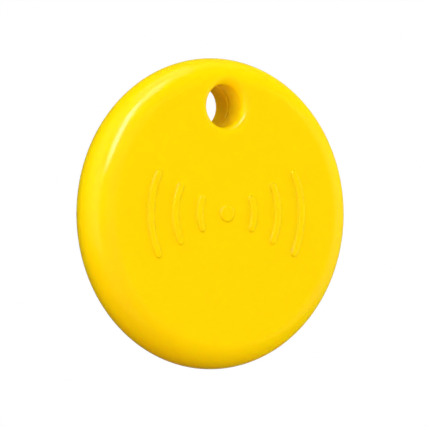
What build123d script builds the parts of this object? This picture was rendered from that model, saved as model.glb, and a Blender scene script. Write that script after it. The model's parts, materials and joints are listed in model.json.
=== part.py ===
"""A round key tag with a Bluetooth tracker inside, modelled upright, as it hangs from a key ring.

The disc's centre is the origin. The face with the raised mark looks along -Y, the battery cover looks
along +Y, and the key hole is at the top, towards +Z. Sizes are in millimetres. A name that ends in _y is
a depth, counted from front to back, and one that ends in _z is a height.
"""

import os
from math import asin, cos, degrees, radians, sin, sqrt

from build123d import *

# ---------------------------------------------------------------- driving dimensions
tag_d = 37.9
tag_t = 6.4
wall = 0.8

hole_z = 13.1  # the key hole's centre
hole_r = 2.6
mouth_round = 0.95  # the key hole's front mouth is the rounder one
rear_mouth_round = 0.15
tube_wall = 0.75
collar_wall = 0.6

seam_angle = 40  # how far past the widest line of the rim the shells part, in degrees
press_travel = 0.15
seam_gap = press_travel + 0.05
tunnel_seam_y = 0.35  # where the front shell's half of the key tunnel ends

skirt_r = 17.3  # inside of the front shell's skirt
lip_clearance = 0.15
lip_t = 0.85
lip_end_y = -0.6

board_r = 16.8
board_t = 0.5
board_y = -1.93  # the board's front face

cell_z = -1.2
cell_r = 10.0
cell_t = 3.2

sounder_z = -6.6
sounder_r = 9.0
ceramic_r = 6.75

touch = 0.03  # what is left between pieces that press on each other but move apart

# ---------------------------------------------------------------- what follows from them
tag_r = tag_d / 2
half_t = tag_t / 2
edge_r = half_t  # the rim is rounded all the way from face to face
flat_r = tag_r - edge_r
inner_y = half_t - wall

seam_y = edge_r * sin(radians(seam_angle))
cover_y = seam_y + seam_gap
cover_angle = degrees(asin(cover_y / edge_r))
cover_edge_r = flat_r + edge_r * cos(radians(cover_angle))

tube_r = hole_r + tube_wall
collar_inner_r = tube_r + 0.1
collar_r = collar_inner_r + collar_wall
collar_end_y = -1.3

lip_r = skirt_r - lip_clearance
lip_inner_r = lip_r - lip_t

board_back_y = board_y + board_t
cell_y = board_back_y + 0.12  # the cell's flat negative side
cell_top_y = cell_y + cell_t
tape_t = 0.05
brass_t = 0.1
ceramic_t = 0.12
electrode_t = 0.02
tape_y = inner_y - tape_t
brass_y = tape_y - brass_t
ceramic_y = brass_y - ceramic_t
electrode_y = ceramic_y - electrode_t

REAR = (0, 1, 0)
FRONT = (0, -1, 0)
tag_axis = Axis.Y
hole_axis = Axis((0, 0, hole_z), REAR)
cell_axis = Axis((0, 0, cell_z), REAR)


def depth(y):
    """The upright plane at a depth. Its sketches read x to the right and z up, as seen from the front."""
    return Plane.XZ.offset(-y)


def section_at(z):
    """The level plane at a height. Its sketches read x outwards and y to the rear."""
    return Plane.XY.offset(z)


def spoke(angle, z=0):
    """The plane through a depth-wise axis at height z, whose x runs outwards at a clock angle from +X."""
    across, up = cos(radians(angle)), sin(radians(angle))
    return Plane(origin=(0, 0, z), x_dir=(across, 0, up), z_dir=(-up, 0, across))


def band(centre, span, points, z=0):
    """The starting face of a band that revolve() turns through span degrees, to lie about a clock angle."""
    with BuildSketch(spoke(centre + span / 2, z)) as start:
        with BuildLine():
            Polyline(*points, close=True)
        make_face()
    return start.sketch


def bore_edges(shell):
    """The round edges of the key hole itself, from front to rear."""
    circles = shell.edges().filter_by(GeomType.CIRCLE)
    return circles.filter_by(lambda edge: edge.radius < hole_r + 0.01).sort_by(Axis.Y)


def flat_disc(radius, y, thickness, z):
    """A plain round plate whose front face is at a depth y."""
    with BuildPart() as disc:
        with BuildSketch(depth(y)):
            with Locations((0, z)):
                Circle(radius)
        extrude(amount=thickness, dir=REAR)
    return disc


# ---------------------------------------------------------------- front shell
seam_corner_r = 0.12
root_y = -inner_y - wall / 4  # what stands inside the face starts within its wall
nub_r = 1.5
nub_y = -2.25
ledge_y = board_y - press_travel - 0.05
ledge_inner_r = 15.2
ledge_angles = (30, 150, 210, 270, 330)
ledge_span = 16
pin_r = 0.6
pin_ring_r = 15.2
pin_end_y = -0.9
hook_angles = (0, 180, 240, 300)
hook_span = 12
hook_r = board_r - 0.2
hook_tip_t = 0.2
hook_back_y = lip_end_y - press_travel - 0.1
bead_y = 0.1
bead_half = 0.3
bead_room = 0.12
rib_height = 0.2
rib_inner_r, rib_outer_r = 7.8, 8.4
tunnel_seal_y = -1.0
tunnel_groove_depth = 0.35
tunnel_groove_w = 0.5

mark_height = 0.2
mark_stroke = 0.9
mark_dot_r = 1.0
mark_radii = (4.0, 7.5, 11.0)
mark_half_angle = 26
mark_round = 0.12

with BuildPart() as front_shell:
    with BuildSketch(Plane.XY) as front_section:
        with BuildLine():
            Line((0, -half_t), (flat_r, -half_t))
            rim = CenterArc((flat_r, 0), edge_r, -90, 90 + seam_angle)
            Line(rim @ 1, (skirt_r, seam_y))
            turn_y = -sqrt(inner_y**2 - (skirt_r - flat_r) ** 2)
            Line((skirt_r, seam_y), (skirt_r, turn_y))
            RadiusArc((skirt_r, turn_y), (flat_r, -inner_y), inner_y)
            Polyline((flat_r, -inner_y), (0, -inner_y), (0, -half_t))
        make_face()
        fillet(front_section.vertices().sort_by(Axis.X)[-1], seam_corner_r)
    revolve(axis=tag_axis)

    # The front half of the key tunnel, rounded into the face.
    with BuildSketch(depth(-half_t + wall / 2)):
        with Locations((0, hole_z)):
            Circle(tube_r)
    extrude(amount=tunnel_seam_y + half_t - wall / 2, dir=REAR)
    with BuildSketch(depth(-half_t)):
        with Locations((0, hole_z)):
            Circle(hole_r)
    extrude(amount=tag_t, dir=REAR, mode=Mode.SUBTRACT)
    fillet(bore_edges(front_shell)[0], mouth_round)

    # A groove round the tunnel for its seal.
    with BuildSketch(section_at(hole_z)):
        with Locations((tube_r, tunnel_seal_y)):
            Rectangle(2 * tunnel_groove_depth, tunnel_groove_w)
    revolve(axis=hole_axis, mode=Mode.SUBTRACT)

    # The nub that presses the switch, a stiffening rib round it, and the ledges that the board rests on.
    with BuildSketch(depth(root_y)):
        Circle(nub_r)
    extrude(amount=nub_y - root_y, dir=REAR)
    with BuildSketch(depth(root_y)):
        Circle(rib_outer_r)
        Circle(rib_inner_r, mode=Mode.SUBTRACT)
    extrude(amount=-inner_y + rib_height - root_y, dir=REAR)
    ledge_root_y = -inner_y - 0.1
    ledge = [
        (ledge_inner_r, ledge_root_y),
        (board_r, ledge_root_y),
        (board_r, ledge_y),
        (ledge_inner_r, ledge_y),
    ]
    for angle in ledge_angles:
        revolve(band(angle, ledge_span, ledge), axis=tag_axis, revolution_arc=ledge_span)

    # Two pins that go through the board, and the hooks behind its edge.
    with BuildSketch(depth(root_y)):
        with PolarLocations(pin_ring_r, 2, start_angle=45, angular_range=90, endpoint=True):
            Circle(pin_r)
    extrude(amount=pin_end_y - root_y, dir=REAR)
    hook_y = board_back_y + touch
    hook = [
        (skirt_r + 0.2, hook_y),
        (hook_r, hook_y),
        (hook_r, hook_y + hook_tip_t),
        (skirt_r, hook_back_y),
        (skirt_r + 0.2, hook_back_y),
    ]
    for angle in hook_angles:
        revolve(band(angle, hook_span, hook), axis=tag_axis, revolution_arc=hook_span)

    # The groove that the cover's snap beads drop into.
    with BuildSketch(section_at(0)):
        with Locations((skirt_r, bead_y)):
            Rectangle(2 * bead_room, 2 * (bead_half + press_travel + 0.1))
    revolve(axis=tag_axis, mode=Mode.SUBTRACT)

    # The raised mark: a plain sign for radio waves.
    with BuildSketch(depth(-half_t + mark_round)):
        Circle(mark_dot_r)
        for radius in mark_radii:
            for start in (-mark_half_angle, 180 - mark_half_angle):
                stroke = CenterArc((0, 0), radius, start, 2 * mark_half_angle, mode=Mode.PRIVATE)
                SlotArc(stroke, mark_stroke)
    extrude(amount=mark_height + mark_round, dir=FRONT)
    fillet(front_shell.edges().group_by(Axis.Y)[0], mark_round)

# ---------------------------------------------------------------- rear shell
foot_angles = (30, 150, 210, 330)
foot_span = 14
bead_angles = (20, 70, 110, 160, 225, 315)
bead_span = 18
bead_reach = lip_clearance - touch
cover_corner_r = 0.1
rim_seal_y = 1.2
rim_groove_depth = 0.4
rim_groove_w = 0.7
cell_rib_y = 1.0
cell_rib_inner_r, cell_rib_outer_r = 10.3, 10.95
cell_rib_angles = (20, 160)
cell_rib_span = 40
pry_notch_w, pry_notch_h, pry_notch_depth = 7, 1.3, 0.45

with BuildPart() as rear_shell:
    with BuildSketch(Plane.XY) as rear_section:
        with BuildLine():
            CenterArc((flat_r, 0), edge_r, cover_angle, 90 - cover_angle)
            Polyline(
                (cover_edge_r, cover_y),
                (lip_r, cover_y),
                (lip_r, lip_end_y),
                (lip_inner_r, lip_end_y),
                (lip_inner_r, inner_y),
                (0, inner_y),
                (0, half_t),
                (flat_r, half_t),
            )
        make_face()
        fillet(rear_section.vertices().sort_by(Axis.X)[-1], cover_corner_r)
    revolve(axis=tag_axis)

    # The rear half of the key tunnel, with a collar that takes in the front half.
    with BuildSketch(depth(collar_end_y)):
        with Locations((0, hole_z)):
            Circle(collar_r)
    extrude(amount=half_t - wall / 2 - collar_end_y, dir=REAR)
    with BuildSketch(depth(tunnel_seam_y + seam_gap)):
        with Locations((0, hole_z)):
            Circle(collar_inner_r)
    extrude(amount=tag_t, dir=FRONT, mode=Mode.SUBTRACT)
    with BuildSketch(depth(half_t)):
        with Locations((0, hole_z)):
            Circle(hole_r)
    extrude(amount=tag_t, dir=FRONT, mode=Mode.SUBTRACT)
    fillet(bore_edges(rear_shell)[-1], rear_mouth_round)

    # Feet on the lip, which hold the board down, and beads that snap into the front shell.
    foot_y = board_back_y + touch
    foot = [
        (lip_inner_r + 0.1, lip_end_y + 0.3),
        (lip_inner_r + 0.1, foot_y),
        (lip_r - 0.1, foot_y),
        (lip_r - 0.1, lip_end_y + 0.3),
    ]
    for angle in foot_angles:
        revolve(band(angle, foot_span, foot), axis=tag_axis, revolution_arc=foot_span)
    bead = [
        (lip_r - 0.2, bead_y - bead_half),
        (lip_r + bead_reach, bead_y),
        (lip_r - 0.2, bead_y + bead_half),
    ]
    for angle in bead_angles:
        revolve(band(angle, bead_span, bead), axis=tag_axis, revolution_arc=bead_span)

    # The groove for the rim's seal.
    with BuildSketch(section_at(0)):
        with Locations((lip_r, rim_seal_y)):
            Rectangle(2 * rim_groove_depth, rim_groove_w)
    revolve(axis=tag_axis, mode=Mode.SUBTRACT)

    # Two ribs that keep the cell centred.
    rib_root_y = inner_y + 0.2
    cell_rib = [
        (cell_rib_inner_r, rib_root_y),
        (cell_rib_inner_r, cell_rib_y),
        (cell_rib_outer_r, cell_rib_y),
        (cell_rib_outer_r, rib_root_y),
    ]
    for angle in cell_rib_angles:
        revolve(band(angle, cell_rib_span, cell_rib, cell_z), axis=cell_axis, revolution_arc=cell_rib_span)

    # A notch at the bottom for a coin or a fingernail.
    with BuildSketch(depth(cover_y)):
        with Locations((0, -cover_edge_r)):
            RectangleRounded(pry_notch_w, pry_notch_h, 0.5)
    extrude(amount=pry_notch_depth, dir=REAR, mode=Mode.SUBTRACT)

# ---------------------------------------------------------------- seals
rim_cord_r = 0.25
tunnel_cord_r = 0.2

with BuildPart() as rim_seal:
    with BuildSketch(section_at(0)):
        with Locations((skirt_r - touch - rim_cord_r, rim_seal_y)):
            Circle(rim_cord_r)
    revolve(axis=tag_axis)

with BuildPart() as keyhole_seal:
    with BuildSketch(section_at(hole_z)):
        with Locations((collar_inner_r - touch - tunnel_cord_r, tunnel_seal_y)):
            Circle(tunnel_cord_r)
    revolve(axis=hole_axis)

# ---------------------------------------------------------------- circuit board
notch_r = 3.6
notch_corner_r = 0.4
pin_hole_r = pin_r + 0.15

with BuildPart() as circuit_board:
    with BuildSketch(depth(board_y)) as outline:
        Circle(board_r)
        with Locations((0, hole_z)):
            Circle(notch_r, mode=Mode.SUBTRACT)
        with Locations((0, tag_r)):
            Rectangle(2 * notch_r, 2 * (tag_r - hole_z), mode=Mode.SUBTRACT)
        with PolarLocations(pin_ring_r, 2, start_angle=45, angular_range=90, endpoint=True):
            Circle(pin_hole_r, mode=Mode.SUBTRACT)
        fillet(outline.vertices().group_by(Axis.Y)[-1], notch_corner_r)
    extrude(amount=board_t, dir=REAR)

# ---------------------------------------------------------------- press switch
pad_t = 0.03
pad_ring_w = 0.35
pad_centre_r = 0.9
dome_r = 2.1
dome_foot_w = 0.15
dome_height = 0.22
dome_t = 0.06
film_t = 0.04
film_r = 3.2
dome_base_y = board_y - pad_t
dome_top_y = dome_base_y - dome_height

with BuildPart() as switch_pads:
    with BuildSketch(depth(board_y)):
        Circle(dome_r)
        Circle(dome_r - pad_ring_w, mode=Mode.SUBTRACT)
        Circle(pad_centre_r)
    extrude(amount=pad_t, dir=FRONT)

with BuildPart() as snap_dome:
    with BuildSketch(Plane.XY):
        with BuildLine():
            under_r = dome_r - dome_foot_w
            under_y = dome_top_y + dome_t
            crown = ThreePointArc((-dome_r, dome_base_y), (0, dome_top_y), (dome_r, dome_base_y))
            Line(crown @ 1, (under_r, dome_base_y))
            ThreePointArc((under_r, dome_base_y), (0, under_y), (-under_r, dome_base_y))
            Line((-under_r, dome_base_y), crown @ 0)
        make_face()
        split(bisect_by=Plane.YZ)
    revolve(axis=tag_axis)

with BuildPart() as dome_film:
    with BuildSketch(Plane.XY):
        with BuildLine():
            over = ThreePointArc((-dome_r, dome_base_y), (0, dome_top_y), (dome_r, dome_base_y))
            step_r = dome_r + dome_foot_w
            Polyline(over @ 1, (step_r, board_y), (film_r, board_y), (film_r, board_y - film_t))
            Polyline((film_r, board_y - film_t), (step_r, board_y - film_t), (dome_r, dome_base_y - film_t))
            ThreePointArc(
                (dome_r, dome_base_y - film_t),
                (0, dome_top_y - film_t),
                (-dome_r, dome_base_y - film_t),
            )
            Polyline((-dome_r, dome_base_y - film_t), (-step_r, board_y - film_t), (-film_r, board_y - film_t))
            Polyline((-film_r, board_y - film_t), (-film_r, board_y), (-step_r, board_y), over @ 0)
        make_face()
        split(bisect_by=Plane.YZ)
    revolve(axis=tag_axis)

# ---------------------------------------------------------------- battery contacts
contact_t = 0.1
hub_r = 2.0
arm_count = 3
arm_l, arm_w, arm_ring_r = 4.6, 1.8, 3.4
arm_end_r, arm_end_ring_r = 1.3, 6.0
slot_l, slot_w, slot_ring_r = 2.4, 0.5, 3.9

with BuildPart() as negative_contact:
    with BuildSketch(depth(board_back_y)):
        with Locations((0, cell_z)):
            Circle(hub_r)
            with PolarLocations(arm_ring_r, arm_count, start_angle=90):
                Rectangle(arm_l, arm_w)
            with PolarLocations(arm_end_ring_r, arm_count, start_angle=90):
                Circle(arm_end_r)
            with PolarLocations(slot_ring_r, arm_count, start_angle=90):
                Rectangle(slot_l, slot_w, mode=Mode.SUBTRACT)
    extrude(amount=contact_t, dir=REAR)

strip_t = 0.15  # the side springs and the stops are bent from strip this thick
strip_y = board_back_y + strip_t
spring_span = 24
spring_section = [
    (12.2, board_back_y),
    (12.2, strip_y),
    (10.4, strip_y),
    (10.4, 0.8),
    (10.2, 0.95),
    (cell_r + touch, 0.1),
    (cell_r + touch + 0.1, 0.05),
    (10.22, 0.65),
    (10.25, 0.6),
    (10.25, board_back_y),
]
positive_springs = {}
for side, angle in (("left", 222), ("right", 318)):
    with BuildPart() as spring:
        revolve(band(angle, spring_span, spring_section, cell_z), axis=cell_axis, revolution_arc=spring_span)
    positive_springs[f"positive_spring_{side}"] = spring

stop_span = 16
stop_end_y = 0.6
stop_inner_r = cell_r + 0.1
stop_section = [
    (11.4, board_back_y),
    (11.4, strip_y),
    (stop_inner_r + strip_t, strip_y),
    (stop_inner_r + strip_t, stop_end_y),
    (stop_inner_r, stop_end_y),
    (stop_inner_r, board_back_y),
]
with BuildPart() as cell_stops:
    for angle in (60, 120):
        revolve(band(angle, stop_span, stop_section, cell_z), axis=cell_axis, revolution_arc=stop_span)

# ---------------------------------------------------------------- coin cell
can_t = 0.25
can_edge_r = 0.45
crimp_y = cell_y + 0.16
crimp_t = 0.2
crimp_inner_r = 9.3
crimp_edge_r = 0.3


def cell_body(points):
    """The half section of a round piece of the cell, as a face for revolve()."""
    with BuildSketch(section_at(cell_z)) as half:
        with BuildLine():
            Polyline(*points, close=True)
        make_face()
    return half.sketch


with BuildPart() as cell_can:
    with BuildSketch(section_at(cell_z)) as can_section:
        with BuildLine():
            Polyline(
                (0, cell_top_y),
                (cell_r, cell_top_y),
                (cell_r, crimp_y),
                (crimp_inner_r, crimp_y),
                (crimp_inner_r, crimp_y + crimp_t),
                (cell_r - can_t, crimp_y + crimp_t),
                (cell_r - can_t, cell_top_y - can_t),
                (0, cell_top_y - can_t),
                close=True,
            )
        make_face()
        corners = can_section.vertices().sort_by(Axis.X)[-2:]
        fillet(corners.sort_by(Axis.Y)[-1], can_edge_r)
        fillet(can_section.vertices().sort_by(Axis.X)[-1], crimp_edge_r)
    revolve(axis=cell_axis)

cap_points = [
    (0, cell_y),
    (8.3, cell_y),
    (8.7, cell_y + 0.28),
    (8.7, cell_y + 0.7),
    (9.0, cell_y + 0.86),
    (9.0, cell_y + 1.9),
    (8.75, cell_y + 1.9),
    (8.75, cell_y + 1.01),
    (8.45, cell_y + 0.81),
    (8.45, cell_y + 0.36),
    (8.2, cell_y + 0.25),
    (0, cell_y + 0.25),
]
with BuildPart() as cell_cap:
    revolve(cell_body(cap_points), axis=cell_axis)

grommet_points = [
    (8.73, cell_y + 0.21),
    (9.27, cell_y + 0.21),
    (9.27, cell_y + 0.39),
    (9.72, cell_y + 0.39),
    (9.72, cell_y + 2.2),
    (9.03, cell_y + 2.2),
    (9.03, cell_y + 0.84),
    (8.73, cell_y + 0.69),
]
with BuildPart() as cell_grommet:
    revolve(cell_body(grommet_points), axis=cell_axis)

anode_r, anode_t = 8.2, 0.76
separator_r, separator_t = 8.6, 0.14
cathode_r = 8.5
anode_y = cell_y + can_t
separator_y = anode_y + anode_t
cathode_y = separator_y + separator_t
lithium_anode = flat_disc(anode_r, anode_y, anode_t, cell_z)
cell_separator = flat_disc(separator_r, separator_y, separator_t, cell_z)
cathode_pellet = flat_disc(cathode_r, cathode_y, cell_top_y - can_t - cathode_y, cell_z)

# ---------------------------------------------------------------- sounder, stuck inside the rear shell
tape_w = 2.2
electrode_margin = 0.4

with BuildPart() as sounder_tape:
    with BuildSketch(depth(tape_y)):
        with Locations((0, sounder_z)):
            Circle(sounder_r)
            Circle(sounder_r - tape_w, mode=Mode.SUBTRACT)
    extrude(amount=tape_t, dir=REAR)

sounder_brass = flat_disc(sounder_r, brass_y, brass_t, sounder_z)
sounder_ceramic = flat_disc(ceramic_r, ceramic_y, ceramic_t, sounder_z)
sounder_electrode = flat_disc(ceramic_r - electrode_margin, electrode_y, electrode_t, sounder_z)

# ---------------------------------------------------------------- spring fingers that feed the sounder
finger_w = 0.9
finger_t = 0.12
finger_run = 2.6


def finger_line(tip_x, tip_y, way):
    """The bent strip of one spring finger, seen from above: a foot on the board, a bow, and a tip."""
    base_y = board_back_y + finger_t / 2
    top_y = tip_y - touch - finger_t / 2
    foot_x = tip_x + way * finger_run
    middle_y = (base_y + top_y) / 2
    with BuildLine() as strip:
        FilletPolyline(
            (tip_x + way * 0.9, base_y),
            (foot_x, base_y),
            (foot_x, middle_y - 0.5),
            (tip_x - way * 0.3, middle_y + 0.5),
            (tip_x - way * 0.3, top_y),
            (tip_x + way * 0.6, top_y),
            radius=(0.3, 0.4, 0.4, 0.25),
        )
    return strip.line


sounder_fingers = {}
for target, tip_x, finger_z, tip_y, way in (
    ("ceramic", -1.8, -12.15, electrode_y, -1),
    ("brass", 3.4, -13.4, brass_y, 1),
):
    with BuildPart() as finger:
        with BuildSketch(section_at(finger_z)):
            trace(finger_line(tip_x, tip_y, way), finger_t)
        extrude(amount=finger_w / 2, both=True)
    sounder_fingers[f"sounder_finger_{target}"] = finger

# ---------------------------------------------------------------- radio chip, crystals and aerial
chip_x, chip_z = -13.3, 0.5
chip_size = 5.0
chip_t = 0.85
chip_pads_per_side = 8
chip_pitch = 0.5
chip_pad_l, chip_pad_w, chip_pad_t = 0.16, 0.26, 0.22

with BuildPart() as radio_chip:
    with BuildSketch(depth(board_back_y)):
        with Locations((chip_x, chip_z)):
            Rectangle(chip_size, chip_size)
    extrude(amount=chip_t, dir=REAR)
    chamfer(radio_chip.edges().group_by(Axis.Y)[-1], 0.05)

with BuildPart() as radio_chip_pads:
    with BuildSketch(depth(board_back_y)):
        with Locations((chip_x, chip_z)):
            with PolarLocations((chip_size + chip_pad_l) / 2, 4):
                with GridLocations(0, chip_pitch, 1, chip_pads_per_side):
                    Rectangle(chip_pad_l, chip_pad_w)
    extrude(amount=chip_pad_t, dir=REAR)


def metal_can_crystal(x, z, length, width, height):
    """A crystal on a flat ceramic base, in a low metal can with softened upper edges."""
    base_t = 0.45 * height
    step = 0.2
    with BuildPart() as crystal:
        with BuildSketch(depth(board_back_y)):
            with Locations((x, z)):
                Rectangle(length, width)
        extrude(amount=base_t, dir=REAR)
        with BuildSketch(depth(board_back_y + base_t)):
            with Locations((x, z)):
                RectangleRounded(length - step, width - step, step)
        extrude(amount=height - base_t, dir=REAR)
        fillet(crystal.edges().group_by(Axis.Y)[-1], 0.06)
    return crystal


main_crystal = metal_can_crystal(-12.3, 5.4, 2.0, 1.6, 0.5)
sleep_crystal = metal_can_crystal(-12.0, -4.7, 3.2, 1.5, 0.8)

aerial_w = 0.45
aerial_t = 0.04
aerial_in_x, aerial_out_x = 12.0, 15.3
aerial_feed_x = aerial_in_x - 0.8
aerial_z = -4.6
aerial_pitch = 1.15
aerial_turns = 8
with BuildPart() as antenna_trace:
    with BuildSketch(depth(board_back_y)):
        with BuildLine():
            route = [(aerial_feed_x, aerial_z), (aerial_out_x, aerial_z)]
            for turn in range(1, aerial_turns):
                z = aerial_z + turn * aerial_pitch
                ends = [(aerial_in_x, z), (aerial_out_x, z)]
                route += ends[::-1] if turn % 2 else ends
            Polyline(*route)
        trace(line_width=aerial_w)
    extrude(amount=aerial_t, dir=REAR)

# ---------------------------------------------------------------- small parts, each kind in one node
chip_part_l, chip_part_w = 1.0, 0.5
end_l = 0.22

capacitor_spots = [
    (-9.5, 6.6, 50),
    (-8.3, 7.8, 50),
    (-14.2, 4.3, 90),
    (-14.6, -3.1, 0),
    (-15.0, -4.2, 0),
    (11.1, -7.2, 0),
    (12.9, -7.2, 0),
    (9.2, -11.6, 40),
    (7.4, 10.4, 0),
    (7.4, 11.5, 0),
]
resistor_spots = [
    (-10.2, 8.1, 50),
    (-5.4, 12.9, 90),
    (11.1, -8.4, 0),
    (12.9, -8.4, 0),
    (8.2, -12.6, 40),
    (-5.0, -13.9, 0),
    (0.4, -13.9, 0),
]


def small_parts(spots, height):
    """Bodies and tinned ends of a kind of surface-mount part, at (x, z, turn) spots on the board's back."""
    with BuildPart() as bodies:
        with BuildSketch(depth(board_back_y)):
            for x, z, turn in spots:
                with Locations(Location((x, z), turn)):
                    Rectangle(chip_part_l - 2 * end_l, chip_part_w)
        extrude(amount=height, dir=REAR)
    with BuildPart() as ends:
        with BuildSketch(depth(board_back_y)):
            for x, z, turn in spots:
                with Locations(Location((x, z), turn)):
                    with GridLocations(chip_part_l - end_l, 0, 2, 1):
                        Rectangle(end_l, chip_part_w)
        extrude(amount=height, dir=REAR)
    return bodies, ends


capacitor_bodies, capacitor_ends = small_parts(capacitor_spots, 0.5)
resistor_bodies, resistor_ends = small_parts(resistor_spots, 0.35)

inductor_x, inductor_z = 12.2, 6.6
inductor_size = 3.0
inductor_t = 1.2
inductor_end_l, inductor_end_t = 0.25, 0.7
with BuildPart() as boost_inductor:
    with BuildSketch(depth(board_back_y)):
        with Locations((inductor_x, inductor_z)):
            RectangleRounded(inductor_size - 2 * inductor_end_l, inductor_size, 0.3)
    extrude(amount=inductor_t, dir=REAR)
    fillet(boost_inductor.edges().group_by(Axis.Y)[-1], 0.12)

with BuildPart() as inductor_ends:
    with BuildSketch(depth(board_back_y)):
        with Locations((inductor_x, inductor_z)):
            with GridLocations(inductor_size - inductor_end_l, 0, 2, 1):
                Rectangle(inductor_end_l, inductor_size - 0.8)
    extrude(amount=inductor_end_t, dir=REAR)

transistor_x, transistor_z = -6.8, 10.4
transistor_l, transistor_w, transistor_t = 2.9, 1.3, 0.95
standoff = 0.1
lead_l, lead_w, lead_t = 0.6, 0.4, 0.4
with BuildPart() as transistor_body:
    with BuildSketch(depth(board_back_y + standoff)):
        with Locations((transistor_x, transistor_z)):
            Rectangle(transistor_l, transistor_w)
    extrude(amount=transistor_t, dir=REAR)
    chamfer(transistor_body.edges().group_by(Axis.Y)[-1], 0.15)

with BuildPart() as transistor_leads:
    with BuildSketch(depth(board_back_y)):
        for x, side in ((-0.95, -1), (0.95, -1), (0, 1)):
            with Locations((transistor_x + x, transistor_z + side * (transistor_w + lead_l) / 2)):
                Rectangle(lead_w, lead_l)
    extrude(amount=lead_t, dir=REAR)

test_pad_r, test_pad_ring_r = 0.5, 14.8
with BuildPart() as test_pads:
    with BuildSketch(depth(board_back_y)):
        with PolarLocations(test_pad_ring_r, 5, start_angle=204, angular_range=28, endpoint=True):
            Circle(test_pad_r)
    extrude(amount=pad_t, dir=REAR)

# ---------------------------------------------------------------- writing every piece
pieces = {
    "front_shell": front_shell,
    "rear_shell": rear_shell,
    "rim_seal": rim_seal,
    "keyhole_seal": keyhole_seal,
    "circuit_board": circuit_board,
    "switch_pads": switch_pads,
    "snap_dome": snap_dome,
    "dome_film": dome_film,
    "negative_contact": negative_contact,
    **positive_springs,
    "cell_stops": cell_stops,
    "cell_can": cell_can,
    "cell_cap": cell_cap,
    "cell_grommet": cell_grommet,
    "lithium_anode": lithium_anode,
    "cell_separator": cell_separator,
    "cathode_pellet": cathode_pellet,
    "sounder_tape": sounder_tape,
    "sounder_brass": sounder_brass,
    "sounder_ceramic": sounder_ceramic,
    "sounder_electrode": sounder_electrode,
    **sounder_fingers,
    "radio_chip": radio_chip,
    "radio_chip_pads": radio_chip_pads,
    "main_crystal": main_crystal,
    "sleep_crystal": sleep_crystal,
    "antenna_trace": antenna_trace,
    "capacitor_bodies": capacitor_bodies,
    "capacitor_ends": capacitor_ends,
    "resistor_bodies": resistor_bodies,
    "resistor_ends": resistor_ends,
    "boost_inductor": boost_inductor,
    "inductor_ends": inductor_ends,
    "transistor_body": transistor_body,
    "transistor_leads": transistor_leads,
    "test_pads": test_pads,
}
os.makedirs("parts", exist_ok=True)
for name, piece in pieces.items():
    piece.part.label = name
    export_step(piece.part, f"parts/{name}.step")
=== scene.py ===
"""The looks of a round Bluetooth key tag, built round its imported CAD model.

Lengths in the shapes are in millimetres and become metres when a shape turns into a mesh. The two
shells are made again here as fine meshes of the same sizes, because their rounded rims are what one
sees. Every other CAD node keeps its mesh, gets softened edges, and has a procedural material.
"""

import json
import math
from functools import partial

import bmesh
import bpy
import numpy as np
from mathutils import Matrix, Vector
from mathutils.geometry import delaunay_2d_cdt


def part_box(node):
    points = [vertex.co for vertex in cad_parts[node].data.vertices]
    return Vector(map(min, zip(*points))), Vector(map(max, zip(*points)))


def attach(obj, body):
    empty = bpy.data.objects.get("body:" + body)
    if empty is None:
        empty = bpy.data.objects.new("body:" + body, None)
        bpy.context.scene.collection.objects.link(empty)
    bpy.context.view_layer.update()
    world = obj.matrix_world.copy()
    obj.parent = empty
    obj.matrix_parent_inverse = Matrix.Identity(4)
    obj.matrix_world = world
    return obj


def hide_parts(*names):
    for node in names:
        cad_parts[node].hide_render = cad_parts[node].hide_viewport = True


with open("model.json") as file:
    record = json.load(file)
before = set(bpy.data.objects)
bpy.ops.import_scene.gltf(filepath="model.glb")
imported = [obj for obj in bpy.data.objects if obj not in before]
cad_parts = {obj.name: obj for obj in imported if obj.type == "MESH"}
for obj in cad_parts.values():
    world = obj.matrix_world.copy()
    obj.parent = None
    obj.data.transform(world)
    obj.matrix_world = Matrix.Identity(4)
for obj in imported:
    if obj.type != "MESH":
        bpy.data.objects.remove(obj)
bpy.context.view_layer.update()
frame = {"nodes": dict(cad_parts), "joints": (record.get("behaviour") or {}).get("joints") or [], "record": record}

MM = 0.001
TURN = 2 * math.pi

# ---------------------------------------------------------------- sizes, the frame's own first


def size_of(node):
    """The lowest and highest corner of a CAD node, in millimetres."""
    low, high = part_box(node)
    return low / MM, high / MM


front_low, front_high = size_of("front_shell")
rear_low, rear_high = size_of("rear_shell")
board_low, board_high = size_of("circuit_board")
cell_low, cell_high = size_of("cell_can")
cell_z = (cell_low.z + cell_high.z) / 2
key_hole = next(m for m in frame["record"]["mounts"] if m["name"] == "key_hole")
hole_z = key_hole["pos_m"][2] / MM
hole_r = key_hole["dims"]["r_mm"]
press = next(j for j in frame["joints"] if j["name"] == "press_front")
press_travel = press["range_m"][1] / MM

tag_r = front_high.x
half_t = rear_high.y
edge_r = half_t  # the rim is a full round
flat_r = tag_r - edge_r
wall = 0.8
inner_y = half_t - wall
mouth_round = 0.95  # the key hole's front mouth
rear_mouth_round = 0.15

play = 0.05  # what is left of a gap when the front is pressed home
seam_y = front_high.y
cover_y = seam_y + press_travel + play
tube_r = hole_r + 0.75  # the front's tunnel round the key hole
tunnel_seam_y = 0.35
tunnel_gap = press_travel + play
sleeve_r = hole_r + 0.55  # what goes on from the tunnel in the cover
collar_inner_r = tube_r + 0.1  # the cover's collar about the tunnel
collar_r = collar_inner_r + 0.6
skirt_r = 17.3  # the inside of the front's rim
lip_r = skirt_r - 0.15  # the cover's lip, which goes in there
lip_inner_r = lip_r - 0.85
lip_end_y = -0.6
sink = 0.2  # how far what stands on a wall reaches into it

ROUND_COUNT = 288  # points round the disc
HOLE_COUNT = 120  # points round the key hole
COLLAR_COUNT = 127  # points round the collar, which do not line up with the hole's
ROW_SPACING = 0.17  # between rows of points on the rounded rim
LEAST_GAP = 0.12  # between a row's points and an opening in the surface

# ---------------------------------------------------------------- shapes


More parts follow.
